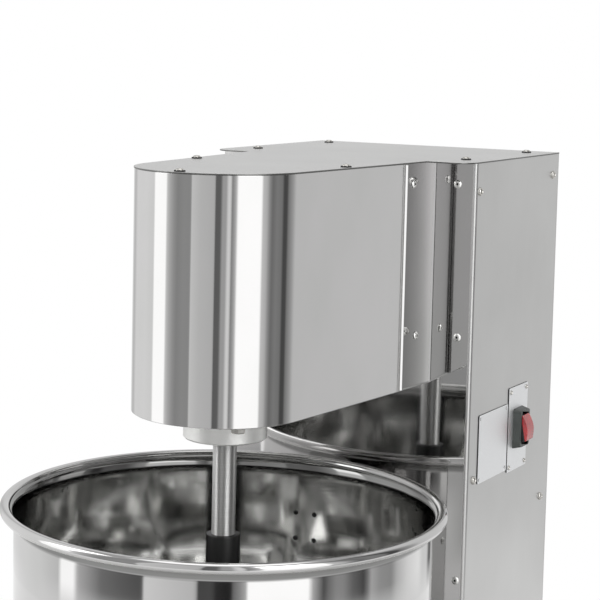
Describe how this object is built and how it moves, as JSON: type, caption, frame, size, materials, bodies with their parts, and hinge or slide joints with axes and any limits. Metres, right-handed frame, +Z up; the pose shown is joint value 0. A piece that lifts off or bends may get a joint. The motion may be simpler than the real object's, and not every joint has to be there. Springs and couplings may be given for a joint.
{
  "type": "upright dough mixer",
  "caption": "Bench-standing upright dough mixer: a tall sheet-steel column carries a round-fronted head over a fixed open drum, with a geared shaft and vanes turning inside.",
  "frame": {"origin": "on the bench, under the middle of the whole machine's outline", "axes": "+X to the side with the switch, +Y to the back of the column, +Z up along the mixing shaft"},
  "size_m": [0.43, 0.6866, 0.776],
  "materials": {
    "foot_rubber": "moulded black rubber",
    "zinc_steel": "bright zinc-plated steel",
    "satin_steel": "satin stainless sheet",
    "polished_steel": "mirror-polished stainless sheet",
    "dark_steel": "blackened steel",
    "frame_steel": "grey primed mild steel",
    "cast_aluminium": "cast and turned aluminium",
    "bearing_steel": "ground bearing steel",
    "motor_paint": "blue-grey motor enamel",
    "black_plastic": "moulded black plastic",
    "white_plastic": "pale capacitor can",
    "plate_aluminium": "bead-blasted anodised plate",
    "ground_steel": "ground stainless bar",
    "gear_steel": "hobbed carbon steel",
    "black_coating": "black coated steel",
    "red_plastic": "translucent red lens"
  },
  "bodies": {
    "root": {"rubber_feet": "foot_rubber", "foot_bolts": "zinc_steel", "base_plate": "satin_steel", "base_cabinet": "satin_steel", "drum_pad": "foot_rubber", "drum_shell": "polished_steel", "drum_floor": "satin_steel", "drum_bracket": "satin_steel", "drum_screws": "dark_steel", "frame_posts": "frame_steel", "frame_rails": "frame_steel", "column_front_panel": "polished_steel", "column_left_panel": "satin_steel", "column_right_panel": "satin_steel", "column_back_panel": "satin_steel", "top_cover": "satin_steel", "cover_tabs": "satin_steel", "head_shell": "polished_steel", "head_cheeks": "polished_steel", "head_floor_plate": "satin_steel", "head_beams": "frame_steel", "corner_brackets": "zinc_steel", "gearbox_housing": "cast_aluminium", "gearbox_cover": "cast_aluminium", "gearbox_bolts": "zinc_steel", "bearing_boss": "cast_aluminium", "boss_bolts": "zinc_steel", "main_bearings": "bearing_steel", "layshaft_bearings": "bearing_steel", "shaft_seals": "foot_rubber", "drive_belt": "foot_rubber", "motor_housing": "motor_paint", "stator_core": "dark_steel", "motor_shields": "motor_paint", "motor_bearings": "bearing_steel", "fan_cover": "black_plastic", "motor_plate": "frame_steel", "motor_bolts": "zinc_steel", "terminal_box": "black_plastic", "run_capacitor": "white_plastic", "switch_plate": "plate_aluminium", "switch_body": "black_plastic", "rating_plate": "plate_aluminium", "cable_gland": "black_plastic", "casing_screws": "zinc_steel", "casing_rivets": "zinc_steel"},
    "mixer": {"mixing_shaft": "ground_steel", "main_gear": "gear_steel", "gear_key": "gear_steel", "agitator_sleeve": "black_coating", "agitator_vanes": "satin_steel"},
    "layshaft_group": {"layshaft": "ground_steel", "pinion": "gear_steel", "layshaft_pulley": "cast_aluminium"},
    "motor_group": {"motor_rotor": "ground_steel", "motor_pulley": "cast_aluminium", "motor_fan": "black_plastic"},
    "rocker": {"switch_rocker": "black_plastic", "rocker_cap": "red_plastic"}
  },
  "joints": [
    {"name": "mixer_spin", "type": "hinge", "parent": "root", "child": "mixer", "pos_m": [0, -0.12825, 0.5], "axis": [0, 0, 1], "continuous": true},
    {"name": "layshaft_spin", "type": "hinge", "parent": "root", "child": "layshaft_group", "pos_m": [0, -0.04325, 0.6], "axis": [0, 0, 1], "continuous": true},
    {"name": "motor_spin", "type": "hinge", "parent": "root", "child": "motor_group", "pos_m": [0, 0.22775, 0.6], "axis": [0, 0, 1], "continuous": true},
    {"name": "rocker_tilt", "type": "hinge", "parent": "root", "child": "rocker", "pos_m": [0.156, 0.24075, 0.476], "axis": [0, 1, 0], "range_deg": [0, 22]}
  ],
  "couplings": [
    {"joint": "layshaft_spin", "follows": "mixer_spin", "ratio": -3.25},
    {"joint": "motor_spin", "follows": "mixer_spin", "ratio": -7.5833}
  ]
}
